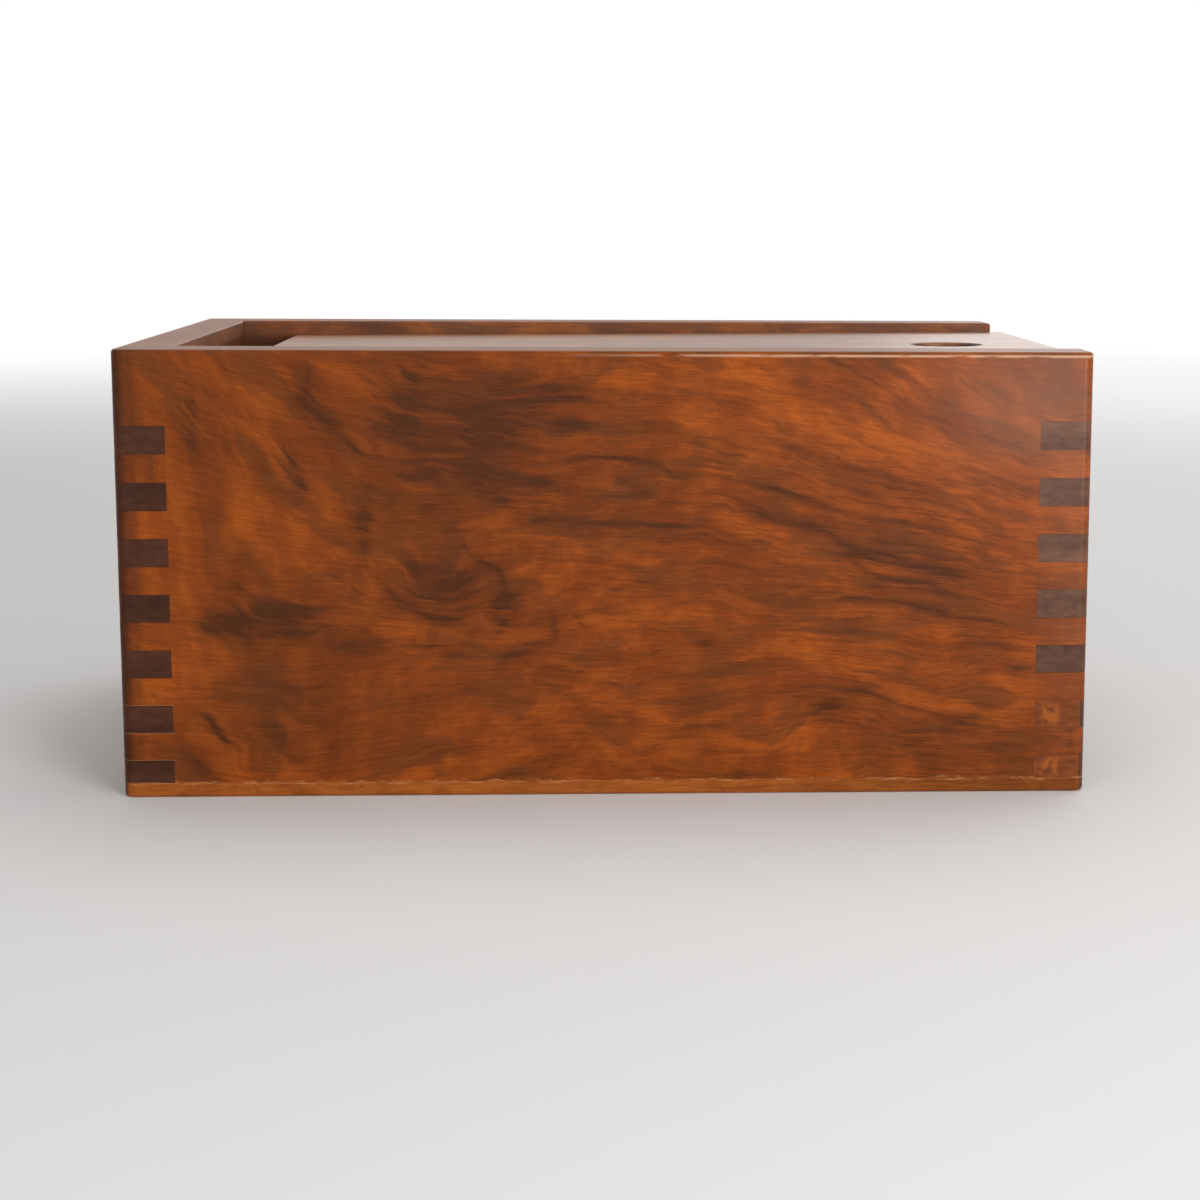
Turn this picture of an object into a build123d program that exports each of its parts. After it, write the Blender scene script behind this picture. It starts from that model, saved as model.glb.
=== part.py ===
from build123d import *
import math
import os

# A finger-jointed wooden box for chess pieces, with a sliding lid.
# The origin is the centre of the underside. +X points to the end where the lid
# slides out, -Y to the front and +Z up. All sizes are in millimetres.

# ---- The box as a whole -------------------------------------------------
box_length = 290.0
box_depth = 188.0
box_height = 135.0  # at the closed end, on the left
rim_fall = 2.2  # how much lower the sanded rim is at the open end, on the right
corner_radius = 3.0  # upright outer corners
rim_radius = 1.0  # outer edge of the rim
foot_radius = 1.2  # outer edge of the underside
opening_easing = 0.5  # sanded inner edge of the rim

# ---- Boards --------------------------------------------------------------
long_thickness = 18.0  # front and back panels
end_thickness = 15.5  # left and right end panels
bottom_thickness = 4.5

# ---- Finger joints -------------------------------------------------------
finger_height = 8.4
plain_top = 22.7  # unjointed wood between the top finger and the rim

# ---- Sliding lid ---------------------------------------------------------
lid_drop = 5.3  # from the rim at the closed end down to the lid's top
lid_thickness = 7.0
bevel_run = 1.8  # how far the lid's edges slope outwards from its top to its underside
edge_gap = 0.4  # between the lid's bevelled edges and the undercut walls
floor_gap = 0.2  # between the lid's underside and what it slides on
end_cover = 0.3  # how far the closed lid reaches over the low end panel
lid_open = 19.0  # how far the lid stands open at rest
pull_corner_radius = 3.0  # upright corners of the lid's pull end
lid_easing = 0.4
hole_diameter = 23.5
hole_inset = 32.6  # from the hole's centre to the lid's pull end
hole_easing = 0.8

# ---- Pins that hold the bottom board ------------------------------------
pin_length = 16.0
pin_radius = 0.7
pin_head_radius = 1.3
pin_head_height = 0.9
pins_along_front = 3  # and as many along the back
pin_margin = 28.0  # from the box's outer end to the first pin

# ---- Worked out from the sizes above ------------------------------------
half_length = box_length / 2
half_depth = box_depth / 2
inner_length = box_length - 2 * end_thickness
inner_depth = box_depth - 2 * long_thickness
panel_height = box_height - bottom_thickness

finger_pitch = 2 * finger_height
top_finger = box_height - plain_top
finger_count = math.ceil((top_finger - bottom_thickness) / finger_pitch)
finger_levels = [top_finger - finger_height / 2 - n * finger_pitch for n in range(finger_count)]

lid_top = box_height - lid_drop
lid_bottom = lid_top - lid_thickness
slide_floor = lid_bottom - floor_gap
bevel_slope = bevel_run / lid_thickness
bevel_angle = math.degrees(math.atan(bevel_slope))
undercut = bevel_slope * (lid_top - slide_floor)

lid_length = inner_length - edge_gap + end_cover  # measured along its top
lid_width = inner_depth - 2 * edge_gap
lid_left = -inner_length / 2 + edge_gap + lid_open
lid_right = lid_left + lid_length
hole_x = lid_right - hole_inset


def eased(radius, wall):
    """An edge radius, no larger than the wood on which it is cut allows."""
    return min(radius, 0.45 * wall)


def finger_ends(across, span):
    """Centres of the end panels' fingers at both ends of a board seen from its side."""
    offset = (span - across) / 2
    return [(side * offset, level) for side in (-1, 1) for level in finger_levels]


# ---- Rounded outline of the glued-up box --------------------------------
# The box is sanded after it is glued, so one outline trims all its boards.
rim_plane = Plane(
    origin=(0, 0, box_height - rim_fall / 2),
    x_dir=(box_length, 0, -rim_fall),
    z_dir=(rim_fall, 0, box_length),
)

with BuildPart() as sanded_outline:
    with BuildSketch(Plane.XZ.offset(half_depth)):
        with BuildLine():
            Polyline(
                (-half_length, 0),
                (half_length, 0),
                (half_length, box_height - rim_fall),
                (-half_length, box_height),
                close=True,
            )
        make_face()
    extrude(amount=-box_depth)
    corner_cut = eased(corner_radius, end_thickness)
    fillet(sanded_outline.edges().filter_by(Axis.Z), corner_cut)
    top_face = sanded_outline.faces().sort_by(Axis.Z)[-1]
    fillet(top_face.edges(), eased(rim_radius, 2 * corner_cut))
    under_face = sanded_outline.faces().sort_by(Axis.Z)[0]
    fillet(under_face.edges(), eased(foot_radius, 2 * corner_cut))
    # The opening's edge is eased on three sides and runs out at the open end.
    with BuildSketch(rim_plane.offset(-opening_easing)):
        with Locations((end_thickness / 2, 0)):
            Rectangle(box_length - end_thickness, inner_depth)
    extrude(amount=2 * opening_easing, taper=-45, mode=Mode.SUBTRACT)


# ---- The lid's way through the walls ------------------------------------
# Undercut below the rim on three sides and open at the pull end.
way_start = -inner_length / 2 - undercut
way_end = half_length + 2 * undercut

with BuildPart() as lid_way:
    with BuildSketch(Plane.XY.offset(slide_floor)):
        with Locations(((way_start + way_end) / 2, 0)):
            Rectangle(way_end - way_start, inner_depth + 2 * undercut)
    extrude(amount=lid_top - slide_floor, taper=bevel_angle)


# ---- Pins ----------------------------------------------------------------
# They run up into the middle of the front and back panels.
pin_pitch = (box_length - 2 * pin_margin) / (pins_along_front - 1)

with BuildPart() as bottom_pins:
    base_up = (Align.CENTER, Align.CENTER, Align.MIN)
    with GridLocations(pin_pitch, box_depth - long_thickness, pins_along_front, 2):
        Cylinder(pin_radius, pin_length, align=base_up)
        Cylinder(pin_head_radius, pin_head_height, align=base_up)


# ---- Bottom board --------------------------------------------------------
with BuildPart() as bottom_board:
    with BuildSketch(Plane.XY):
        Rectangle(box_length, box_depth)
    extrude(amount=bottom_thickness)
    add(sanded_outline.part, mode=Mode.INTERSECT)
    add(bottom_pins.part, mode=Mode.SUBTRACT)


# ---- Front and back panels ----------------------------------------------
with BuildPart() as front_panel:
    with BuildSketch(Plane.XZ.offset(half_depth)):
        with Locations((0, bottom_thickness + panel_height / 2)):
            Rectangle(box_length, panel_height)
        with Locations(*finger_ends(end_thickness, box_length)):
            Rectangle(end_thickness, finger_height, mode=Mode.SUBTRACT)
    extrude(amount=-long_thickness)
    add(lid_way.part, mode=Mode.SUBTRACT)
    add(sanded_outline.part, mode=Mode.INTERSECT)
    add(bottom_pins.part, mode=Mode.SUBTRACT)

with BuildPart() as back_panel:
    mirror(front_panel.part, about=Plane.XZ)


# ---- End panels ----------------------------------------------------------
def end_outline(top):
    """End view of an end panel: a board between the long ones, with its fingers."""
    with Locations((0, (bottom_thickness + top) / 2)):
        Rectangle(inner_depth, top - bottom_thickness)
    with Locations(*finger_ends(long_thickness, box_depth)):
        Rectangle(long_thickness, finger_height)
    with Locations((0, bottom_thickness + panel_height / 2)):
        Rectangle(box_depth, panel_height, mode=Mode.INTERSECT)


with BuildPart() as left_end_panel:
    with BuildSketch(Plane.YZ.offset(-half_length)):
        end_outline(box_height)
    extrude(amount=end_thickness)
    add(lid_way.part, mode=Mode.SUBTRACT)
    add(sanded_outline.part, mode=Mode.INTERSECT)

with BuildPart() as right_end_panel:
    with BuildSketch(Plane.YZ.offset(half_length - end_thickness)):
        end_outline(slide_floor)
    extrude(amount=end_thickness)
    # The lid slides over this low panel, so its top edges are eased.
    top_face = right_end_panel.faces().sort_by(Axis.Z)[-1]
    fillet(top_face.edges().filter_by(Axis.Y), eased(lid_easing, end_thickness))
    add(sanded_outline.part, mode=Mode.INTERSECT)


# ---- Sliding lid ---------------------------------------------------------
# A board bevelled on three sides, so that the undercut walls hold it down. Its
# pull end is cut square and passes over the low end panel.
with BuildPart() as sliding_lid:
    with BuildSketch(Plane.XY.offset(lid_bottom)):
        with Locations((lid_left + lid_length / 2, 0)):
            Rectangle(lid_length + 2 * bevel_run, lid_width + 2 * bevel_run)
    extrude(amount=lid_thickness, taper=bevel_angle)
    # The slope takes the pull end's top back, so the waste is cut off below it.
    with BuildSketch(Plane.XY.offset(lid_bottom)):
        with Locations((lid_right, 0)):
            Rectangle(bevel_run, lid_width + 2 * bevel_run, align=(Align.MIN, Align.CENTER))
    extrude(amount=lid_thickness, mode=Mode.SUBTRACT)
    pull_end = sliding_lid.faces().sort_by(Axis.X)[-1]
    pull_corners = pull_end.edges().filter_by(Axis.Y, reverse=True)
    fillet(pull_corners, eased(pull_corner_radius, lid_length))
    top_face = sliding_lid.faces().sort_by(Axis.Z)[-1]
    fillet(top_face.edges(), eased(lid_easing, lid_thickness))
    with Locations((hole_x, 0, lid_top)):
        Hole(hole_diameter / 2, depth=lid_thickness)
    hole_rims = sliding_lid.edges().filter_by(GeomType.CIRCLE)
    hole_rims = hole_rims.filter_by(lambda rim: math.isclose(rim.radius, hole_diameter / 2))
    fillet(hole_rims, eased(hole_easing, lid_thickness))


# ---- One STEP file for each piece ---------------------------------------
pieces = {
    "front_panel": front_panel,
    "back_panel": back_panel,
    "left_end_panel": left_end_panel,
    "right_end_panel": right_end_panel,
    "bottom_board": bottom_board,
    "bottom_pins": bottom_pins,
    "sliding_lid": sliding_lid,
}

os.makedirs("parts", exist_ok=True)
for piece_name, piece in pieces.items():
    piece.part.label = piece_name
    export_step(piece.part, f"parts/{piece_name}.step")
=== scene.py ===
import bpy
import math
from mathutils import Matrix, Vector


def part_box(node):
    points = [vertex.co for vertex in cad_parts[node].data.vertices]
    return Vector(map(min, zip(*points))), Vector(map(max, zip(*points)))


# The finish and the studio of a finger-jointed rosewood box with a sliding lid.
# The frame is in metres. Everything about the wood is in millimetres.
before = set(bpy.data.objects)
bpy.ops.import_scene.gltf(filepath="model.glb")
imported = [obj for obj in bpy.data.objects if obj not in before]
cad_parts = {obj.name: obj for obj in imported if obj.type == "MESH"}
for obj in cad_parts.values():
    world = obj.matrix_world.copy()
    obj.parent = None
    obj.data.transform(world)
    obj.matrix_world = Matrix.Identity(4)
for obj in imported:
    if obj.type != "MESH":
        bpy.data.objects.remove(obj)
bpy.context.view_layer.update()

MM = 0.001


# ---- Sizes read from the frame -------------------------------------------
def extent(node):
    """Lowest and highest corner of a board, in millimetres."""
    low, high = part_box(node)
    return low / MM, high / MM


front_low, front_high = extent("front_panel")
left_low, left_high = extent("left_end_panel")
right_face = extent("right_end_panel")[1].x
lid_top = extent("sliding_lid")[1].z

box_length = front_high.x - front_low.x
left_edge, right_edge = -box_length / 2, box_length / 2
box_depth = left_high.y - left_low.y
end_thickness = left_high.x - left_low.x
long_thickness = front_high.y - front_low.y
bottom_thickness = extent("bottom_board")[1].z

# Sizes of the joinery that no board's extent gives
finger_height = 8.4
top_finger = 112.3  # the top of the end panels' highest finger
rim_fall = 2.2  # how much lower the sanded rim is at the open end
seam_width = 0.22


# ---- Building node trees --------------------------------------------------
def plug(tree, socket, value):
    """Links an output to a socket, or sets the socket's own value."""
    if isinstance(value, bpy.types.NodeSocket):
        tree.links.new(value, socket)
    else:
        socket.default_value = value


def node(tree, kind, inputs=None, **settings):
    """A shader node with its inputs filled and its settings made."""
    made = tree.nodes.new("ShaderNode" + kind)
    for name, value in settings.items():
        setattr(made, name, value)
    for socket, value in (inputs or {}).items():
        plug(tree, made.inputs[socket], value)
    return made


def maths(tree, operation, *values, clamp=False):
    inputs = dict(enumerate(values))
    return node(tree, "Math", inputs, operation=operation, use_clamp=clamp).outputs[0]


def vector_maths(tree, operation, *values):
    made = node(tree, "VectorMath", dict(enumerate(values)), operation=operation)
    return made.outputs["Value" if operation in ("LENGTH", "DOT_PRODUCT") else "Vector"]


def total_of(tree, amounts):
    total = amounts[0]
    for amount in amounts[1:]:
        total = maths(tree, "ADD", total, amount)
    return total


def millimetres(tree, position):
    """A position in metres, in millimetres."""
    inputs = {0: position, "Scale": 1 / MM}
    return node(tree, "VectorMath", inputs, operation="SCALE").outputs["Vector"]


def ease(tree, value, low, high, start=0.0, end=1.0, shape="SMOOTHSTEP"):
    """Goes from start to end while value goes from low to high, smoothly or LINEAR."""
    inputs = {"Value": value, "From Min": low, "From Max": high, "To Min": start, "To Max": end}
    return node(tree, "MapRange", inputs, interpolation_type=shape).outputs["Result"]


def parts_of(tree, vector):
    return node(tree, "SeparateXYZ", {"Vector": vector}).outputs


def noise(tree, position, size, detail=2.0, roughness=0.5, distortion=0.0):
    """Noise whose lumps are about size millimetres each way."""
    inputs = {
        "Vector": vector_maths(tree, "DIVIDE", position, size),
        "Scale": 1.0,
        "Detail": detail,
        "Roughness": roughness,
        "Distortion": distortion,
    }
    return node(tree, "TexNoise", inputs).outputs["Fac"]


def wavy(tree, position, size, reach):
    """The position, pushed about by up to reach millimetres."""
    scaled = vector_maths(tree, "DIVIDE", position, (size, size, size))
    push = node(tree, "TexNoise", {"Vector": scaled, "Scale": 1.0, "Detail": 3.0}).outputs["Color"]
    push = vector_maths(tree, "SUBTRACT", push, (0.5, 0.5, 0.5))
    push = vector_maths(tree, "MULTIPLY", push, (4 * reach, 4 * reach, 0.0))
    return vector_maths(tree, "ADD", position, push)


def blend(tree, amount, first, second):
    """The first colour going over into the second by amount."""
    made = node(tree, "Mix", {0: amount}, data_type="RGBA")
    # The sockets for colours come after those for numbers and vectors.
    plug(tree, made.inputs[6], first)
    plug(tree, made.inputs[7], second)
    return made.outputs[2]


SOCKETS = {"value": "NodeSocketFloat", "vector": "NodeSocketVector", "colour": "NodeSocketColor"}


def shader_group(name, inputs, outputs):
    """An empty node group with named sockets: the tree, its inputs and its outputs."""
    group = bpy.data.node_groups.new(name, "ShaderNodeTree")
    for label, kind, default in inputs:
        socket = group.interface.new_socket(label, in_out="INPUT", socket_type=SOCKETS[kind])
        socket.default_value = default
    for label, kind in outputs:
        group.interface.new_socket(label, in_out="OUTPUT", socket_type=SOCKETS[kind])
    entry = group.nodes.new("NodeGroupInput")
    leave = group.nodes.new("NodeGroupOutput")
    return group, entry.outputs, leave.inputs


def placed(tree, group, inputs):
    return node(tree, "Group", inputs, node_tree=group).outputs


# ---- Effects shared by the materials --------------------------------------
def soft_spot_group():
    """A soft oval spot with a centre, a reach each way and a tilt."""
    group, given, made = shader_group(
        "Soft spot",
        [
            ("Position", "vector", (0, 0, 0)),
            ("Centre", "vector", (0, 0, 0)),
            ("Reach", "vector", (10, 10, 10)),
            ("Tilt", "value", 0.0),
            ("Strength", "value", 1.0),
        ],
        [("Amount", "value")],
    )
    turn = {"Vector": given["Position"], "Center": given["Centre"], "Angle": given["Tilt"]}
    turned = node(group, "VectorRotate", turn, rotation_type="Z_AXIS").outputs[0]
    away = vector_maths(group, "SUBTRACT", turned, given["Centre"])
    share = vector_maths(group, "DIVIDE", away, given["Reach"])
    squared = vector_maths(group, "DOT_PRODUCT", share, share)
    fall = maths(group, "EXPONENT", maths(group, "MULTIPLY", squared, -1.0))
    plug(group, made["Amount"], maths(group, "MULTIPLY", fall, given["Strength"]))
    return group


def end_grain_group():
    """How far a surface cuts across the fibres, from 0 on a face to 1 on an end."""
    group, given, made = shader_group(
        "End grain",
        [("Normal", "vector", (0, 0, 1)), ("Grain", "vector", (1, 0, 0))],
        [("Amount", "value")],
    )
    facing = vector_maths(group, "DOT_PRODUCT", given["Normal"], given["Grain"])
    plug(group, made["Amount"], ease(group, maths(group, "ABSOLUTE", facing), 0.35, 0.85))
    return group


def finger_seam_group():
    """The fine lines round the ends of the fingers at the upright corners.

    Line has all of them, and Ledge only the level ones. Root is how far the joints
    begin from the middle of the board.
    """
    group, given, made = shader_group(
        "Finger seams",
        [("Position", "vector", (0, 0, 0)), ("Root", "value", 129.5)],
        [("Line", "value"), ("Ledge", "value")],
    )
    axes = parts_of(group, given["Position"])
    out = maths(group, "ABSOLUTE", axes["X"])
    step = maths(group, "DIVIDE", maths(group, "SUBTRACT", top_finger, axes["Y"]), finger_height)
    to_level = maths(group, "SUBTRACT", step, maths(group, "ROUND", step))
    to_level = maths(group, "ABSOLUTE", to_level)
    level_gap = maths(group, "MULTIPLY", to_level, finger_height)
    level_line = ease(group, level_gap, 0.0, seam_width, 1.0, 0.0)
    joint_start = maths(group, "SUBTRACT", given["Root"], seam_width)
    in_joint = maths(group, "GREATER_THAN", out, joint_start)
    level_line = maths(group, "MULTIPLY", level_line, in_joint)
    root_gap = maths(group, "ABSOLUTE", maths(group, "SUBTRACT", out, given["Root"]))
    root_line = ease(group, root_gap, 0.0, seam_width, 1.0, 0.0)
    # Only every second finger ends at the root, the others grow out of the board.
    in_pitch = maths(group, "MODULO", maths(group, "ADD", step, 2.0), 2.0)
    in_socket = maths(group, "LESS_THAN", in_pitch, 1.0)
    root_line = maths(group, "MULTIPLY", root_line, in_socket)
    below_top = maths(group, "LESS_THAN", axes["Y"], top_finger + seam_width)
    line = maths(group, "MULTIPLY", maths(group, "MAXIMUM", level_line, root_line), below_top)
    plug(group, made["Line"], line)
    plug(group, made["Ledge"], maths(group, "MULTIPLY", level_line, below_top))
    return group


def glue_and_highlight_line_group():
    """The pale broken line where the walls stand on the bottom board: glue, and partly a painted
    highlight of the edge.
    """
    group, given, made = shader_group(
        "Glue and highlight line",
        [("Position", "vector", (0, 0, 0)), ("Level", "value", 4.5)],
        [("Amount", "value")],
    )
    height = parts_of(group, given["Position"])["Y"]
    uneven = noise(group, given["Position"], (9, 400, 400), detail=3.0, roughness=0.7)
    level = maths(group, "ADD", given["Level"], ease(group, uneven, 0.3, 0.7, -0.5, 0.5))
    gap = maths(group, "ABSOLUTE", maths(group, "SUBTRACT", height, level))
    line = ease(group, gap, 0.05, 0.42, 1.0, 0.0)
    breaks = noise(group, given["Position"], (6, 0.8, 8), detail=3.0, roughness=0.7)
    unbroken = ease(group, breaks, 0.44, 0.66, 0.0, 0.65)
    plug(group, made["Amount"], maths(group, "MULTIPLY", line, unbroken))
    return group


def rosewood_group():
    """Rosewood: golden and dark growth bands, veins, fibres and pores.

    Position runs along the grain, across the board and through it. Growth is the
    height in the growth layers, which the bands follow. Gold and Shade add golden
    and dark wood to what grows by itself.
    """
    group, given, made = shader_group(
        "Rosewood",
        [
            ("Position", "vector", (0, 0, 0)),
            ("Growth", "value", 0.0),
            ("Gold", "value", 0.0),
            ("Shade", "value", 0.0),
            ("End Grain", "value", 0.0),
            ("Band Width", "value", 6.0),
            ("Banding", "value", 0.6),
            ("Polish", "value", 0.20),
            ("Golden Wood", "colour", (0.295, 0.063, 0.006, 1)),
            ("Red Wood", "colour", (0.172, 0.035, 0.005, 1)),
            ("Dull Wood", "colour", (0.125, 0.034, 0.008, 1)),
            ("Dark Wood", "colour", (0.066, 0.018, 0.005, 1)),
            ("End Wood", "colour", (0.050, 0.014, 0.004, 1)),
        ],
        [("Color", "colour"), ("Roughness", "value"), ("Height", "value")],
    )
    axes = parts_of(group, given["Position"])
    along, across, through = axes["X"], axes["Y"], axes["Z"]
    growth = given["Growth"]
    layered = node(group, "CombineXYZ", {"X": along, "Y": growth, "Z": through}).outputs[0]
    band = {"X": 90.0, "Y": given["Band Width"], "Z": 14.0}
    spread = node(group, "CombineXYZ", band).outputs[0]

    # Broad golden and reddish areas, and a soft mottle in them
    broad = noise(group, layered, (50, 20, 30), detail=2.0, roughness=0.55)
    mottle = noise(group, wavy(group, layered, 6.0, 0.7), (11, 8, 9), detail=3.0, roughness=0.6)
    broad = ease(group, broad, 0.36, 0.66, 0.0, 0.55)
    mottle = ease(group, mottle, 0.36, 0.64, -0.28, 0.34)
    gold = maths(group, "ADD", maths(group, "ADD", broad, mottle), given["Gold"], clamp=True)
    colour = blend(group, gold, given["Red Wood"], given["Golden Wood"])
    dull = noise(group, wavy(group, layered, 12.0, 1.0), (24, 12, 20), detail=3.0, roughness=0.6)
    dull = ease(group, dull, 0.48, 0.60, 0.0, 0.7)
    dull = maths(group, "SUBTRACT", dull, given["Gold"], clamp=True)
    colour = blend(group, dull, colour, given["Dull Wood"])

    # Growth bands, with veins and finer threads that come and go along them
    bands = noise(group, layered, spread, detail=4.0, roughness=0.6, distortion=0.15)
    dark = maths(group, "MULTIPLY", ease(group, bands, 0.44, 0.70), given["Banding"])
    rippled = wavy(group, layered, 8.0, 0.5)
    streaks = noise(group, rippled, (22, 2.4, 6), detail=3.0, roughness=0.6)
    streak = maths(group, "MULTIPLY", ease(group, streaks, 0.50, 0.74), given["Banding"])
    dark = maths(group, "MAXIMUM", dark, maths(group, "MULTIPLY", streak, 0.6))
    threads = noise(group, rippled, (30, 1.0, 6), detail=2.0)
    thread = maths(group, "MULTIPLY", ease(group, threads, 0.54, 0.70), given["Banding"])
    dark = maths(group, "MAXIMUM", dark, maths(group, "MULTIPLY", thread, 0.65))
    streaky = ease(group, streaks, 0.28, 0.68, 0.55, 1.25)
    shade = maths(group, "MULTIPLY", given["Shade"], streaky)
    dark = maths(group, "ADD", dark, shade, clamp=True)
    colour = blend(group, dark, colour, given["Dark Wood"])

    # Fibres lean a little with the growth layers
    lean = maths(group, "MULTIPLY", maths(group, "SUBTRACT", growth, across), 0.3)
    leaning = {"X": along, "Y": maths(group, "ADD", across, lean), "Z": through}
    fibrous = node(group, "CombineXYZ", leaning).outputs[0]
    fibre = noise(group, fibrous, (7, 0.36, 0.36), detail=3.0, roughness=0.65)
    fibre_tone = ease(group, fibre, 0.25, 0.75, 1.17, 0.83)
    colour = vector_maths(group, "MULTIPLY", colour, fibre_tone)
    bundle = noise(group, fibrous, (16, 0.9, 0.9), detail=2.0)
    colour = vector_maths(group, "MULTIPLY", colour, ease(group, bundle, 0.3, 0.7, 1.10, 0.90))

    # Short open pores
    celled = vector_maths(group, "DIVIDE", fibrous, (4.2, 0.85, 0.85))
    cells = node(group, "TexVoronoi", {"Vector": celled, "Scale": 1.0}).outputs
    chosen = node(group, "SeparateColor", {"Color": cells["Color"]}).outputs["Red"]
    pore = ease(group, cells["Distance"], 0.11, 0.25, 1.0, 0.0)
    pore = maths(group, "MULTIPLY", pore, ease(group, chosen, 0.68, 0.78))
    colour = blend(group, maths(group, "MULTIPLY", pore, 0.6), colour, given["Dark Wood"])

    # Ends drink the finish and turn dark
    rings = wavy(group, given["Position"], 9.0, 1.2)
    end_streak = noise(group, rings, (5, 2.0, 5), detail=4.0, roughness=0.65)
    end_tone = ease(group, end_streak, 0.30, 0.70, 0.80, 1.25)
    uneven = noise(group, given["Position"], (400, 11, 400), detail=0.0)
    end_tone = maths(group, "MULTIPLY", end_tone, ease(group, uneven, 0.35, 0.65, 0.82, 1.16))
    end_colour = vector_maths(group, "MULTIPLY", given["End Wood"], end_tone)
    colour = blend(group, given["End Grain"], colour, end_colour)
    plug(group, made["Color"], colour)

    # How much each of them adds to the roughness, and to the height in millimetres
    rough = [
        given["Polish"],
        maths(group, "MULTIPLY", fibre, 0.08),
        maths(group, "MULTIPLY", pore, 0.15),
        maths(group, "MULTIPLY", given["End Grain"], 0.06),
    ]
    plug(group, made["Roughness"], total_of(group, rough))
    sanding = noise(group, given["Position"], (26, 18, 18), detail=1.0)
    height = [
        maths(group, "MULTIPLY", fibre, -0.010),
        maths(group, "MULTIPLY", pore, -0.02),
        maths(group, "MULTIPLY", sanding, 0.12),
    ]
    plug(group, made["Height"], total_of(group, height))
    return group


# Upward faces are sanded pale, and partly painted with the sheen of the bright surroundings.
SANDED_AND_SHEEN_COLOUR = (0.32, 0.18, 0.11, 1)
SANDED_AND_SHEEN_STRENGTH = 0.45
RIM_ROUGHNESS = 0.44
INSIDE_ROUGHNESS = 0.45
# What the wood's colour is multiplied by, and then gains, where it has no stain; the greyer tone
# is partly painted haze
UNSTAINED_AND_HAZE_FACTOR = (1.0, 1.45, 2.6)
UNSTAINED_AND_HAZE_GAIN = (0.02, 0.012, 0.012)


def facing(tree, normal, direction):
    """1 where a surface faces that way, 0 where it doesn't."""
    return ease(tree, vector_maths(tree, "DOT_PRODUCT", normal, direction), 0.6, 0.95)


def rim_and_inside_group():
    """The rim's upward faces are sanded dull and painted pale, partly as painted sheen, and the
    inside has no stain and is painted greyer, partly as painted haze.
    """
    group, given, made = shader_group(
        "Rim and inside",
        [
            ("Normal", "vector", (0, 0, 1)),
            ("Inward", "vector", (0, 1, 0)),
            ("Color", "colour", (0.172, 0.035, 0.005, 1)),
            ("Roughness", "value", 0.20),
        ],
        [("Color", "colour"), ("Roughness", "value")],
    )
    upward = facing(group, given["Normal"], (0, 0, 1))
    inside = facing(group, given["Normal"], given["Inward"])
    sanded_and_sheen = maths(group, "MULTIPLY", upward, SANDED_AND_SHEEN_STRENGTH)
    colour = blend(group, sanded_and_sheen, given["Color"], SANDED_AND_SHEEN_COLOUR)
    unstained_and_haze = vector_maths(group, "MULTIPLY", colour, UNSTAINED_AND_HAZE_FACTOR)
    unstained_and_haze = vector_maths(group, "ADD", unstained_and_haze, UNSTAINED_AND_HAZE_GAIN)
    plug(group, made["Color"], blend(group, inside, colour, unstained_and_haze))
    rough = ease(group, upward, 0.0, 1.0, given["Roughness"], RIM_ROUGHNESS)
    rough = ease(group, inside, 0.0, 1.0, rough, INSIDE_ROUGHNESS)
    plug(group, made["Roughness"], rough)
    return group


def growth_wander_group():
    """How the growth layers wander up and down, over Reach millimetres in all."""
    group, given, made = shader_group(
        "Growth wander",
        [
            ("Position", "vector", (0, 0, 0)),
            ("Size", "vector", (80, 30, 40)),
            ("Reach", "value", 36.0),
        ],
        [("Offset", "value")],
    )
    lumps = noise(group, given["Position"], given["Size"], detail=3.0)
    offset = maths(group, "MULTIPLY", maths(group, "SUBTRACT", lumps, 0.5), given["Reach"])
    plug(group, made["Offset"], offset)
    return group


soft_spot = soft_spot_group()
end_grain = end_grain_group()
finger_seams = finger_seam_group()
glue_and_highlight_line = glue_and_highlight_line_group()
rosewood = rosewood_group()
rim_and_inside = rim_and_inside_group()
growth_wander = growth_wander_group()


# ---- Materials -------------------------------------------------------------
def new_material(name):
    material = bpy.data.materials.new(name)
    material.use_nodes = True
    material.node_tree.nodes.clear()
    return material, material.node_tree


def board_position(tree, axes, start):
    """Millimetres along the grain, across the board and through it, and the normal."""
    coordinates = node(tree, "TexCoord").outputs
    metres = parts_of(tree, coordinates["Object"])
    inputs = {place: metres[axis] for place, axis in zip("XYZ", axes)}
    position = millimetres(tree, node(tree, "CombineXYZ", inputs).outputs[0])
    return vector_maths(tree, "SUBTRACT", position, start), coordinates["Normal"]


WOOD_SHINE = 0.115
LID_SHINE = 0.4


def lacquer(tree, colour, roughness, height, shine=WOOD_SHINE):
    """Satin lacquer over the wood."""
    bump = node(tree, "Bump", {"Height": height, "Distance": MM, "Strength": 1.0})
    inputs = {
        "Base Color": colour,
        "Roughness": roughness,
        "IOR": 1.5,
        "Specular IOR Level": shine,
        "Normal": bump.outputs["Normal"],
    }
    shader = node(tree, "BsdfPrincipled", inputs)
    node(tree, "OutputMaterial", {"Surface": shader.outputs[0]})


SPOT_DEPTH = 60.0  # a spot goes right through a board


def spots_added(tree, position, spots):
    """Soft spots, each (centre, reach, tilt in degrees, strength)."""
    amounts = []
    for (x, z), (reach_x, reach_z), tilt, strength in spots:
        inputs = {
            "Position": position,
            "Centre": (x, z, 0),
            "Reach": (reach_x, reach_z, SPOT_DEPTH),
            "Tilt": math.radians(-tilt),
            "Strength": strength,
        }
        amounts.append(placed(tree, soft_spot, inputs)["Amount"])
    return total_of(tree, amounts)


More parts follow.
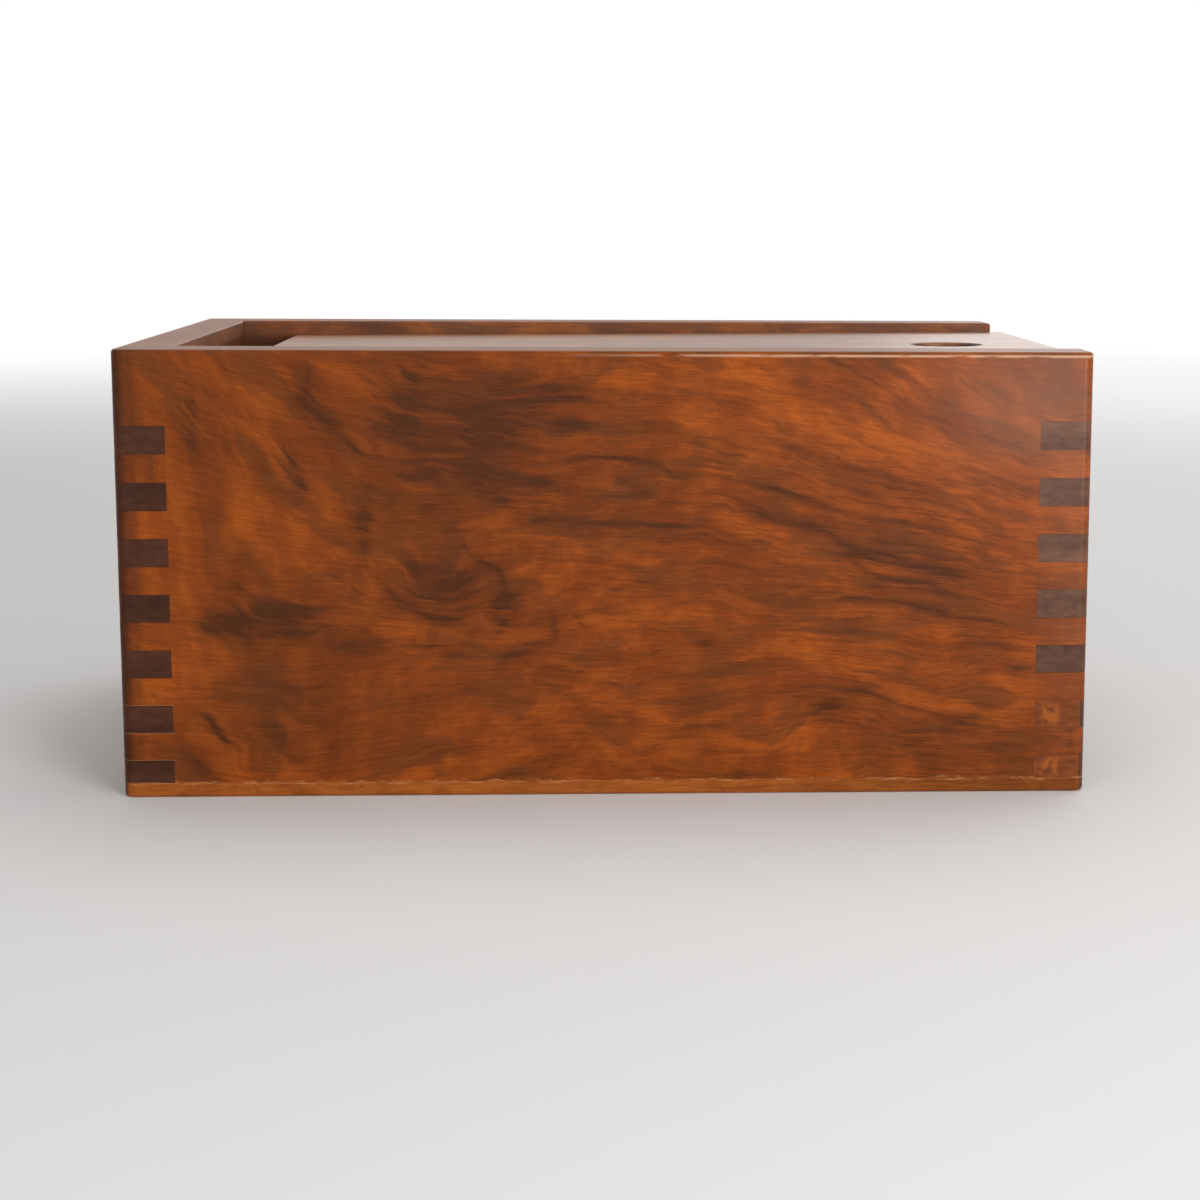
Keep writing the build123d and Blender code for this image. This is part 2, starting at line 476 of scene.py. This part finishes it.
def smooth_line(tree, value, points):
    """The height of a smooth line through points, over value."""
    made = node(tree, "FloatCurve", {"Value": value})
    made.mapping.use_clip = False
    made.mapping.extend = "HORIZONTAL"
    line = made.mapping.curves[0].points
    line[0].location, line[1].location = points[0], points[-1]
    for point in points[1:-1]:
        line.new(*point)
    made.mapping.update()
    return made.outputs["Value"]


def strands_added(tree, axes, strands):
    """Strands that follow a line and fade at its ends, each (points, width, strength).

    A strand is crisp on its upper side and soft below. Points of an upright one are
    given from the bottom up, those of the others from left to right.
    """
    amounts = []
    for points, width, strength in strands:
        upright = abs(points[-1][1] - points[0][1]) > abs(points[-1][0] - points[0][0])
        run, rise = (axes["Y"], axes["X"]) if upright else (axes["X"], axes["Y"])
        if upright:
            points = [(z, x) for x, z in points]
        offset = maths(tree, "SUBTRACT", rise, smooth_line(tree, run, points))
        offset = maths(tree, "DIVIDE", offset, width)
        offset = maths(tree, "MAXIMUM", offset, maths(tree, "MULTIPLY", offset, -0.6))
        squared = maths(tree, "MULTIPLY", offset, offset)
        near = maths(tree, "DIVIDE", strength, maths(tree, "ADD", squared, 1.0))
        first, last = points[0][0], points[-1][0]
        fade = 0.35 * (last - first)
        near = maths(tree, "MULTIPLY", near, ease(tree, run, first, first + fade))
        near = maths(tree, "MULTIPLY", near, ease(tree, run, last - fade, last, 1.0, 0.0))
        amounts.append(near)
    return total_of(tree, amounts)


SEAM_COLOUR = (0.03, 0.01, 0.004, 1)
SEAM_STRENGTH = 0.4
GLUE_AND_HIGHLIGHT_COLOUR = (0.46, 0.20, 0.08, 1)
PAINTED_SHEEN_COLOUR = (0.33, 0.14, 0.08, 1)
PAINTED_HIGHLIGHT_COLOUR = (0.52, 0.30, 0.18, 1)


def joint_seams(tree, position, span, thickness):
    """The seams at both ends of a board, in finger joints as deep as thickness."""
    return placed(tree, finger_seams, {"Position": position, "Root": span / 2 - thickness})


def seamed(tree, lines, colour):
    return blend(tree, maths(tree, "MULTIPLY", lines, SEAM_STRENGTH), colour, SEAM_COLOUR)


def glued_and_highlit(tree, position, colour):
    """The line of glue above the bottom board, partly a painted highlight."""
    inputs = {"Position": position, "Level": bottom_thickness + 0.1}
    return blend(tree, placed(tree, glue_and_highlight_line, inputs)["Amount"], colour, GLUE_AND_HIGHLIGHT_COLOUR)


def worn_and_sheen(tree, normal, inward, colour, roughness):
    """The colour and the roughness of a wall with its sanded rim and bare inside, which are partly
    painted sheen and haze.
    """
    inputs = {"Normal": normal, "Inward": inward, "Color": colour, "Roughness": roughness}
    wear = placed(tree, rim_and_inside, inputs)
    return wear["Color"], wear["Roughness"]


# The front panel's figure, in millimetres from the middle of the box's lower front
# edge. Where a growth layer swells, the bands bend round the place.
FRONT_SWELLS = [
    ((-160, 126), (60, 55), 0, -70),  # steep bands at the upper left
    ((-49, 65.5), (15, 10), -10, 9),  # the knot
    ((-24, 53.0), (12, 8), 25, 7),  # the eye beside it
    ((150, 112), (75, 55), 0, 48),  # bands that fall to the right
    ((-97, 4), (38, 30), 0, 24),  # the sag at the lower left
    ((70, 28), (20, 14), 0, -9),  # the rise at the lower right
]
FRONT_GOLD_SPOTS = [
    ((-98, 120), (9, 6), -20, 0.5),
    ((-95, 104), (7, 4), -60, 0.5),
    ((-107, 90), (5, 7), 0, 0.6),
    ((-110, 82), (7, 4), 20, 0.55),
    ((-131, 82), (9, 10), 0, 0.5),
    ((-128, 63), (8, 7), 0, 0.55),
    ((-122, 44), (10, 9), 0, 0.25),
    ((52, 120), (10, 6), -45, 0.8),
    ((72, 109), (14, 6), -25, 0.95),
    ((94, 103), (13, 6), -12, 0.8),
    ((91, 125), (8, 5), 0, 0.8),
    ((40, 127), (9, 5), 0, 0.6),
    ((3, 54), (20, 5), 0, 0.3),
    ((20, 14), (40, 6), 5, 0.25),
    ((138, 95), (9, 24), 0, 0.35),
    ((134, 40), (12, 22), 0, 0.3),
]
FRONT_GOLD_STRANDS = [
    ([(-119, 108), (-119, 120), (-119.5, 134)], 1.6, 0.5),
    ([(-117, 13), (-119, 19), (-123, 26)], 1.2, 0.7),
    ([(54, 40), (69, 40.5), (78, 39), (92, 37)], 1.1, 0.6),
    ([(70, 45), (87, 45.5), (100, 43), (112, 41)], 1.1, 0.4),
]
# Painted sheen: a pale haze at the upper right and a soft highlight band beside the right corner,
# where the light from the right is reflected.
FRONT_PAINTED_SHEEN_SPOTS = [
    ((124, 117), (24, 17), -10, 0.28),
    ((140, 70), (8, 50), 0, 0.12),
]
FRONT_SHADE_SPOTS = [
    ((-54, 69), (5.5, 2.8), -20, 0.7),  # the knot
    ((-44, 65.5), (6, 4.0), -30, 0.85),
    ((-50, 60), (8, 2.0), -10, 0.5),
    ((-49, 66), (17, 12), -10, 0.2),
    ((-31, 57), (5, 2.6), 50, 0.7),
    ((-114, 52.5), (6, 3.2), 0, 0.9),  # the dark smear at the left
    ((-98, 54), (19, 7), 3, 0.95),
    ((-109, 66), (3, 4), 0, 0.5),
    ((-112, 95), (40, 70), 0, 0.17),
    ((-13, 121), (13, 4), 0, 0.6),
    ((-9, 112), (6, 1.8), -5, 0.6),
    ((-33, 111), (8, 6), 0, 0.5),
    ((-40, 116), (32, 20), 0, 0.7),
    ((116, 18), (34, 16), 0, 0.22),
    ((-48, 90), (28, 18), -10, 0.4),
    ((-8, 90), (24, 8), 0, 0.25),
    ((-38, 56), (24, 16), 0, 0.3),
    ((-92, 26), (28, 20), 0, 0.5),
    ((96, 73), (28, 8), -15, 0.36),
    ((128, 118), (20, 16), 0, 0.2),
    ((137, 59), (10, 7), 0, 0.5),
    ((42, 118), (6, 3), -10, 0.35),
    ((58, 102), (7, 2.5), -30, 0.45),
    ((110, 122), (9, 3.5), -10, 0.3),
    ((65, 27), (6, 5), 0, 0.40),
    ((93, 17), (5, 5), 0, 0.5),
    ((98, 8), (3, 4), 0, 0.4),
    ((30, 48), (5, 3.2), -15, 0.55),
    ((124, 38), (4, 2), 0, 0.45),
    ((140, 15), (1.5, 4), 0, 0.4),
    ((-110, 107), (5, 5), 0, 0.35),
]
FRONT_SHADE_STRANDS = [
    ([(62, 76), (74, 71), (81, 67), (90, 65), (104, 61), (116, 55)], 1.2, 0.75),
    ([(36, 87), (47, 84), (64, 81), (74, 75), (91, 71), (107, 66), (124, 62)], 1.1, 0.65),
    ([(38, 94), (49, 93), (58, 91), (67, 88), (78, 82)], 1.2, 0.5),
    ([(64, 97), (79, 93), (89, 93), (98, 89), (108, 83)], 2.0, 0.45),
    ([(80, 119), (96, 114), (107, 109), (122, 104), (131, 100), (144, 97)], 1.5, 0.5),
    ([(36, 65), (54, 63), (71, 61), (90, 58), (108, 54), (136, 48)], 1.0, 0.6),
    ([(100, 50), (113, 47), (127, 44)], 1.2, 0.4),
    ([(52, 56), (65, 53.5), (84, 51)], 1.4, 0.3),
    ([(-50, 103), (-36, 100), (-26, 97), (-18, 95), (-6, 93)], 1.5, 0.5),
    ([(-19, 106), (-10, 102.5), (9, 102), (16, 100), (24, 96), (34, 97)], 1.2, 0.6),
    ([(-1, 98), (13, 91), (20, 89), (31, 89)], 1.5, 0.45),
    ([(25, 86), (34, 88), (40, 87), (54, 82)], 1.0, 0.55),
    ([(-64, 98), (-56, 97), (-46, 100)], 0.6, 0.65),
    ([(-42, 94), (-34, 91.5), (-26, 90)], 0.8, 0.55),
    (
        [(-40, 77), (-31, 81), (-24, 83), (-5, 83.5), (13, 82), (27, 81), (38, 79), (54, 73)],
        1.1,
        0.65,
    ),
    ([(-72, 71), (-67, 66), (-60, 59), (-53, 56), (-46, 54), (-36, 53)], 0.9, 0.65),
    ([(-88, 74), (-77, 64.5), (-70, 60), (-58, 56)], 2.0, 0.45),
    ([(-94, 48), (-77, 47), (-56, 46), (-34, 42.5)], 1.4, 0.5),
    ([(-6, 55), (-1, 60), (2, 62), (8, 64), (20, 66)], 1.4, 0.55),
    ([(-35, 48), (-29, 54), (-22, 60)], 1.5, 0.4),
    ([(-35, 40), (-26, 44), (-17, 48)], 1.5, 0.55),
    ([(-27, 36), (-15, 39), (-2, 39)], 1.4, 0.4),
    ([(10, 27), (21, 29), (36, 29)], 1.0, 0.45),
    ([(-12, 22), (5, 25), (15, 28)], 1.4, 0.4),
    ([(12, 18), (27, 20), (36, 22), (49, 27)], 1.4, 0.5),
    ([(-44, 4.5), (-27, 8), (-21, 10), (-4, 13)], 1.4, 0.55),
    ([(-64, 25), (-49, 30), (-36, 34)], 1.4, 0.4),
    ([(-60, 11), (-54, 14), (-47, 14.5), (-32, 16)], 1.2, 0.4),
    ([(56, 24), (72, 29), (86, 33.5)], 1.8, 0.5),
    ([(98, 18), (107, 22), (118, 25)], 1.6, 0.45),
    ([(32, 5), (45, 7), (60, 8)], 1.4, 0.4),
    ([(-55, 100), (-58, 111), (-57, 120), (-54, 136)], 3.0, 0.65),
    ([(-66, 97), (-76, 107), (-82, 113), (-87, 119), (-87, 125), (-84, 138)], 2.6, 0.75),
    ([(-124, 95), (-122, 105), (-121, 117), (-120, 132)], 2.4, 0.6),
    ([(-71, 64), (-71, 84), (-68, 98)], 2.0, 0.6),
    ([(-32, 57), (-30, 61), (-30, 66), (-33, 70), (-39, 73.5), (-43, 79)], 1.1, 0.65),
    ([(-88, 86), (-91, 99), (-94, 111)], 2.4, 0.6),
    ([(-107, 11), (-112, 16), (-116, 21), (-124, 30)], 1.5, 0.55),
    ([(-114, 4), (-125, 13), (-131, 21)], 1.6, 0.5),
    ([(-88, 6), (-95, 15), (-101, 26)], 2.2, 0.4),
    ([(-16, 46), (-15, 52), (-17, 58)], 0.9, 0.5),
    ([(-5, 50), (-8, 54), (-11, 58)], 0.8, 0.4),
]


def figure_drawn(tree, position, spots, strands):
    """Spots and strands of one kind, added up."""
    drawn = spots_added(tree, position, spots)
    return maths(tree, "ADD", drawn, strands_added(tree, parts_of(tree, position), strands))


def front_end_grain(tree, normal, along):
    """Dark end grain on the finger ends, and painted shade round the left corner, which faces away
    from the light.
    """
    ends = placed(tree, end_grain, {"Normal": normal, "Grain": (1, 0, 0)})["Amount"]
    # Painted light: the right corner's rounding, which faces the light, loses its dark end grain,
    # and only the flat end keeps it.
    to_right = vector_maths(tree, "DOT_PRODUCT", normal, (1, 0, 0))
    flat_end = ease(tree, to_right, 0.92, 0.995)
    painted_light = ease(tree, along, right_edge - 15.0, right_edge - 2.0, 1.0, 0.15)
    ends = maths(tree, "MULTIPLY", ends, maths(tree, "MAXIMUM", painted_light, flat_end))
    # Painted shade: the left corner's rounding gets the dark end-grain colour.
    painted_corner_shade = ease(tree, along, left_edge + 1.8, left_edge + 4.8, 0.8, 0.0)
    return maths(tree, "MAXIMUM", ends, painted_corner_shade)


def rim_painted_highlight(tree, position, colour):
    """A painted highlight along the eased front edge of the rim, stronger towards the right."""
    along, height, _ = parts_of(tree, position)
    high, low = left_high.z, left_high.z - rim_fall
    rim = ease(tree, along, left_edge, right_edge, high, low, shape="LINEAR")
    below_rim = maths(tree, "SUBTRACT", rim, height)
    edge_gap = maths(tree, "ABSOLUTE", maths(tree, "SUBTRACT", below_rim, 1.3))
    painted_light = ease(tree, edge_gap, 0.1, 0.6, 1.0, 0.0)
    painted_light = maths(tree, "MULTIPLY", painted_light, ease(tree, along, -30.0, 60.0, 0.0, 0.75))
    patches = noise(tree, position, (14, 3, 3), detail=3.0)
    painted_light = maths(tree, "MULTIPLY", painted_light, ease(tree, patches, 0.32, 0.5))
    return blend(tree, painted_light, colour, PAINTED_HIGHLIGHT_COLOUR)


def front_material():
    material, tree = new_material("front panel rosewood")
    position, normal = board_position(tree, "XZY", (0, 0, front_low.y))
    along, height, _ = parts_of(tree, position)
    swells = spots_added(tree, position, FRONT_SWELLS)
    lumps = {"Position": position, "Size": (42, 24, 30), "Reach": 18.0}
    wander = placed(tree, growth_wander, lumps)["Offset"]
    bent = wavy(tree, position, 9.0, 0.8)
    shade = figure_drawn(tree, bent, FRONT_SHADE_SPOTS, FRONT_SHADE_STRANDS)
    # Painted shade, darkening the wood just in from the left corner.
    painted_corner_shade = ease(tree, along, left_edge + 5.5, left_edge + 8.0, 0.38, 0.0)
    inputs = {
        "Position": position,
        "Growth": total_of(tree, [height, swells, wander]),
        "Gold": figure_drawn(tree, bent, FRONT_GOLD_SPOTS, FRONT_GOLD_STRANDS),
        "Shade": maths(tree, "ADD", shade, painted_corner_shade),
        "End Grain": front_end_grain(tree, normal, along),
        "Band Width": ease(tree, along, -130.0, -50.0, 8.0, 4.6),
        "Banding": ease(tree, along, -70.0, 50.0, 0.14, 0.60),
    }
    wood = placed(tree, rosewood, inputs)
    # The painted sheen of the light from the right.
    pale = spots_added(tree, bent, FRONT_PAINTED_SHEEN_SPOTS)
    colour = blend(tree, pale, wood["Color"], PAINTED_SHEEN_COLOUR)
    seams = joint_seams(tree, position, box_length, end_thickness)
    colour = seamed(tree, seams["Line"], colour)
    # Glue was squeezed out on the ledges of the lowest fingers at the left.
    ledges = maths(tree, "MULTIPLY", seams["Ledge"], ease(tree, height, 30.0, 31.0, 0.6, 0.0))
    ledges = maths(tree, "MULTIPLY", ledges, maths(tree, "LESS_THAN", along, 0.0))
    colour = blend(tree, ledges, colour, GLUE_AND_HIGHLIGHT_COLOUR)
    colour = glued_and_highlit(tree, position, colour)
    colour = rim_painted_highlight(tree, position, colour)
    colour, roughness = worn_and_sheen(tree, normal, (0, 1, 0), colour, wood["Roughness"])
    lacquer(tree, colour, roughness, wood["Height"])
    return material


def board_material(
    name, axes, start, offset, looks, finish=None, inward=None, shine=WOOD_SHINE
):
    """Any other board: quiet rosewood with its own place in the tree.

    axes are the frame's axes along the grain, across the board and through it, and
    start is the board's own zero. offset picks the wood that the board is cut from.
    looks fills the rosewood's inputs, finish adds seams, glue and painted
    highlight to the colour, and inward points to the inside of the box.
    """
    material, tree = new_material(name)
    position, normal = board_position(tree, axes, start)
    moved = vector_maths(tree, "ADD", position, offset)
    along, across, through = parts_of(tree, moved)
    growth = [
        across,
        placed(tree, growth_wander, {"Position": moved})["Offset"],
        maths(tree, "MULTIPLY", along, 0.05),
        maths(tree, "MULTIPLY", through, 0.4),
    ]
    grain = tuple(1.0 if axis == axes[0] else 0.0 for axis in "XYZ")
    ends = placed(tree, end_grain, {"Normal": normal, "Grain": grain})["Amount"]
    inputs = {"Position": moved, "Growth": total_of(tree, growth), "End Grain": ends}
    wood = placed(tree, rosewood, {**inputs, **looks})
    colour, roughness = wood["Color"], wood["Roughness"]
    if finish:
        colour = finish(tree, position, colour)
    if inward:
        colour, roughness = worn_and_sheen(tree, normal, inward, colour, roughness)
    lacquer(tree, colour, roughness, wood["Height"], shine)
    return material


def long_panel_finish(tree, position, colour):
    seams = joint_seams(tree, position, box_length, end_thickness)
    return glued_and_highlit(tree, position, seamed(tree, seams["Line"], colour))


def end_panel_finish(tree, position, colour):
    """Only the ledges show, because the long panels' fingers end on this face."""
    seams = joint_seams(tree, position, box_depth, long_thickness)
    return glued_and_highlit(tree, position, seamed(tree, seams["Ledge"], colour))


FILLER_COLOUR = (0.28, 0.070, 0.009, 1)
SMUDGE_COLOUR = (0.06, 0.020, 0.010, 1)
FINGER_COLOURS = (0.12, 0.030, 0.007, 1), (0.18, 0.043, 0.008, 1)
PATCHES = ((24.2, 3.4), (8.0, 3.0))  # each one's height on the box, and half its size
PATCH_INSET = 10.7  # from the box's end to the middle of a patch
PATCH_HALF_WIDTH = 2.8


def filled_end_finish(tree, position, colour):
    """The right end panel: its two lowest front fingers are patched with filler."""
    colour = end_panel_finish(tree, position, colour)
    across, height, _ = parts_of(tree, position)
    colour = vector_maths(tree, "MULTIPLY", colour, ease(tree, height, 35.0, 80.0, 0.6, 1.0))
    in_front = maths(tree, "LESS_THAN", across, 0.3 - box_depth / 2)
    low = maths(tree, "MULTIPLY", in_front, ease(tree, height, 29.0, 31.0, 1.0, 0.0))
    flecks = noise(tree, position, (2, 1.6, 6), detail=3.0)
    finger = blend(tree, ease(tree, flecks, 0.35, 0.65), *FINGER_COLOURS)
    colour = blend(tree, maths(tree, "MULTIPLY", low, 0.92), colour, finger)
    torn = parts_of(tree, wavy(tree, position, 2.5, 0.35))
    sideways = maths(tree, "ABSOLUTE", maths(tree, "ADD", torn["Z"], PATCH_INSET))
    sideways = maths(tree, "DIVIDE", sideways, PATCH_HALF_WIDTH)
    smudges = noise(tree, position, (3.4, 3.0, 3.2), detail=2.0)
    smudges = ease(tree, smudges, 0.44, 0.70, 0.0, 0.8)
    filler = blend(tree, smudges, FILLER_COLOUR, SMUDGE_COLOUR)
    for middle, half_height in PATCHES:
        up = maths(tree, "ABSOLUTE", maths(tree, "SUBTRACT", torn["Y"], middle))
        out = maths(tree, "MAXIMUM", sideways, maths(tree, "DIVIDE", up, half_height))
        patch = maths(tree, "MULTIPLY", ease(tree, out, 0.55, 1.15, 0.85, 0.0), in_front)
        colour = blend(tree, patch, colour, filler)
    return colour


def bottom_finish(tree, position, colour):
    """The glue, partly a painted highlight, shows on the board's outer edge, and the board is
    darker at the right.
    """
    inputs = {"Position": position, "Level": bottom_thickness - 0.3}
    squeezed_and_highlit = placed(tree, glue_and_highlight_line, inputs)["Amount"]
    normal = node(tree, "TexCoord").outputs["Normal"]
    flat = maths(tree, "ABSOLUTE", vector_maths(tree, "DOT_PRODUCT", normal, (0, 0, 1)))
    squeezed_and_highlit = maths(tree, "MULTIPLY", squeezed_and_highlit, ease(tree, flat, 0.4, 0.9, 1.0, 0.0))
    along = parts_of(tree, position)["X"]
    colour = vector_maths(tree, "MULTIPLY", colour, ease(tree, along, 40.0, 120.0, 1.0, 0.62))
    return blend(tree, squeezed_and_highlit, colour, GLUE_AND_HIGHLIGHT_COLOUR)


STEEL_COLOUR = (0.45, 0.44, 0.43, 1)
TARNISH_COLOUR = (0.20, 0.17, 0.14, 1)


def pin_material():
    """Drawn wire, a little tarnished."""
    material, tree = new_material("pin steel")
    position = millimetres(tree, node(tree, "TexCoord").outputs["Object"])
    drawn = noise(tree, position, (0.15, 0.15, 2.0))
    tarnish = noise(tree, position, (0.8, 0.8, 0.8), detail=3.0)
    tarnish = ease(tree, tarnish, 0.4, 0.7)
    bump = node(tree, "Bump", {"Height": maths(tree, "MULTIPLY", drawn, 0.01), "Distance": MM})
    inputs = {
        "Base Color": blend(tree, tarnish, STEEL_COLOUR, TARNISH_COLOUR),
        "Metallic": 1.0,
        "Roughness": maths(tree, "ADD", 0.3, maths(tree, "MULTIPLY", drawn, 0.25)),
        "Normal": bump.outputs[0],
    }
    shader = node(tree, "BsdfPrincipled", inputs)
    node(tree, "OutputMaterial", {"Surface": shader.outputs[0]})
    return material


def dress(name, material):
    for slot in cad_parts[name].material_slots:
        slot.material = material


dress("front_panel", front_material())
dress(
    "back_panel",
    board_material(
        "back panel rosewood",
        "XZY",
        (0, 0, front_high.y),
        (310, 40, 90),
        {},
        finish=long_panel_finish,
        inward=(0, -1, 0),
    ),
)
dress(
    "left_end_panel",
    board_material(
        "left end rosewood",
        "YZX",
        (0, 0, left_low.x),
        (-240, 200, 30),
        {"End Wood": (0.052, 0.018, 0.009, 1)},
        finish=end_panel_finish,
        inward=(1, 0, 0),
    ),
)
# The right end's end grain is paler and greyer than the left end's: painted sheen of the light
# from the right.
dress(
    "right_end_panel",
    board_material(
        "right end rosewood",
        "YZX",
        (0, 0, right_face),
        (520, 60, -70),
        {"End Wood": (0.112, 0.050, 0.030, 1)},
        finish=filled_end_finish,
        inward=(-1, 0, 0),
    ),
)
dress(
    "bottom_board",
    board_material(
        "bottom board rosewood",
        "XZY",
        (0, 0, 0),
        (90, -300, 12),
        {
            "Gold": 0.75,
            "Banding": 0.35,
            "Golden Wood": (0.288, 0.080, 0.013, 1),
            "End Wood": (0.085, 0.030, 0.012, 1),
        },
        finish=bottom_finish,
    ),
)
# The lid's colours are paler and greyer than the other boards': partly painted sheen of the bright
# surroundings, which its top reflects at a low angle.
dress(
    "sliding_lid",
    board_material(
        "lid rosewood",
        "XYZ",
        (0, 0, lid_top),
        (-130, 330, 200),
        {
            "Gold": 0.1,
            "Polish": 0.32,
            "Golden Wood": (0.34, 0.135, 0.048, 1),
            "Red Wood": (0.25, 0.088, 0.030, 1),
            "Dull Wood": (0.20, 0.082, 0.035, 1),
            "Dark Wood": (0.10, 0.036, 0.014, 1),
        },
        shine=LID_SHINE,
    ),
)
dress("bottom_pins", pin_material())


# ---- Studio ------------------------------------------------------------------
WHITE = (1, 1, 1, 1)
FLOOR_SIZE = 12.0
FLOOR_COLOUR = (0.85, 0.84, 0.83, 1)
WORLD_LEVEL = 0.30
BOX_MIDDLE = (0, 0, 0.07)
SOFTBOXES = [  # name, place, size and power
    ("key light", (0.64, -1.15, 0.27), (0.58, 0.46), 14),
    ("fill light", (-0.9, -1.7, 1.0), (1.4, 1.4), 6),
    ("top light", (0.3, 0.5, 1.8), (1.6, 1.6), 13),
    ("back light", (0.95, 1.45, 0.60), (1.4, 0.5), 4.5),
]


def looked_at(tree):
    """1 for what the camera, reflections and glass see, 0 for what lights the object."""
    path = node(tree, "LightPath").outputs
    seen = maths(tree, "MAXIMUM", path["Is Camera Ray"], path["Is Glossy Ray"])
    return maths(tree, "MAXIMUM", seen, path["Is Transmission Ray"])


def make_floor():
    """A flat pale floor that turns into the white background further out."""
    mesh = bpy.data.meshes.new("floor")
    half = FLOOR_SIZE / 2
    corners = [(-half, -half, 0), (half, -half, 0), (half, half, 0), (-half, half, 0)]
    mesh.from_pydata(corners, [], [(0, 1, 2, 3)])
    floor = bpy.data.objects.new("floor", mesh)
    bpy.context.scene.collection.objects.link(floor)
    material, tree = new_material("pale floor")
    away = vector_maths(tree, "LENGTH", node(tree, "TexCoord").outputs["Object"])
    amount = maths(tree, "MULTIPLY", ease(tree, away, 0.7, 2.2), looked_at(tree))
    paint = node(tree, "BsdfDiffuse", {"Color": FLOOR_COLOUR}).outputs[0]
    white = node(tree, "Emission", {"Color": WHITE, "Strength": 1.0}).outputs[0]
    mixed = node(tree, "MixShader", {0: amount, 1: paint, 2: white}).outputs[0]
    node(tree, "OutputMaterial", {"Surface": mixed})
    mesh.materials.append(material)


def make_world():
    """White where the camera and reflections look, and a soft even light elsewhere."""
    world = bpy.data.worlds.new("studio")
    bpy.context.scene.world = world
    world.use_nodes = True
    tree = world.node_tree
    tree.nodes.clear()
    strength = ease(tree, looked_at(tree), 0.0, 1.0, WORLD_LEVEL, 1.0)
    background = node(tree, "Background", {"Color": WHITE, "Strength": strength})
    node(tree, "OutputWorld", {"Surface": background.outputs[0]})


def make_softbox(name, place, size, power):
    light = bpy.data.lights.new(name, "AREA")
    light.shape = "RECTANGLE"
    light.size, light.size_y = size
    light.energy = power
    lamp = bpy.data.objects.new(name, light)
    lamp.location = place
    aim = Vector(BOX_MIDDLE) - Vector(place)
    lamp.rotation_euler = aim.to_track_quat("-Z", "Y").to_euler()
    bpy.context.scene.collection.objects.link(lamp)


def make_camera():
    """The photograph's viewpoint: a little above the rim, almost square to the front."""
    image_width = 1200
    focal_pixels = 2277
    axis_above_middle = 70
    yaw, pitch, roll = math.radians(0.746), math.radians(8.063), math.radians(0.205)
    place = (-0.0100, -0.7637, 0.1756)
    camera_data = bpy.data.cameras.new("camera")
    camera_data.sensor_width = 36.0
    camera_data.lens = focal_pixels / image_width * camera_data.sensor_width
    camera_data.shift_y = -axis_above_middle / image_width
    camera_data.clip_start = 0.01
    camera = bpy.data.objects.new("camera", camera_data)
    turn = Matrix.Rotation(-yaw, 4, "Z") @ Matrix.Rotation(math.pi / 2 - pitch, 4, "X")
    turn = turn @ Matrix.Rotation(-roll, 4, "Z")
    camera.matrix_world = Matrix.Translation(place) @ turn
    bpy.context.scene.collection.objects.link(camera)
    bpy.context.scene.camera = camera


make_floor()
make_world()
for softbox in SOFTBOXES:
    make_softbox(*softbox)
make_camera()
bpy.context.scene.view_settings.view_transform = "Standard"
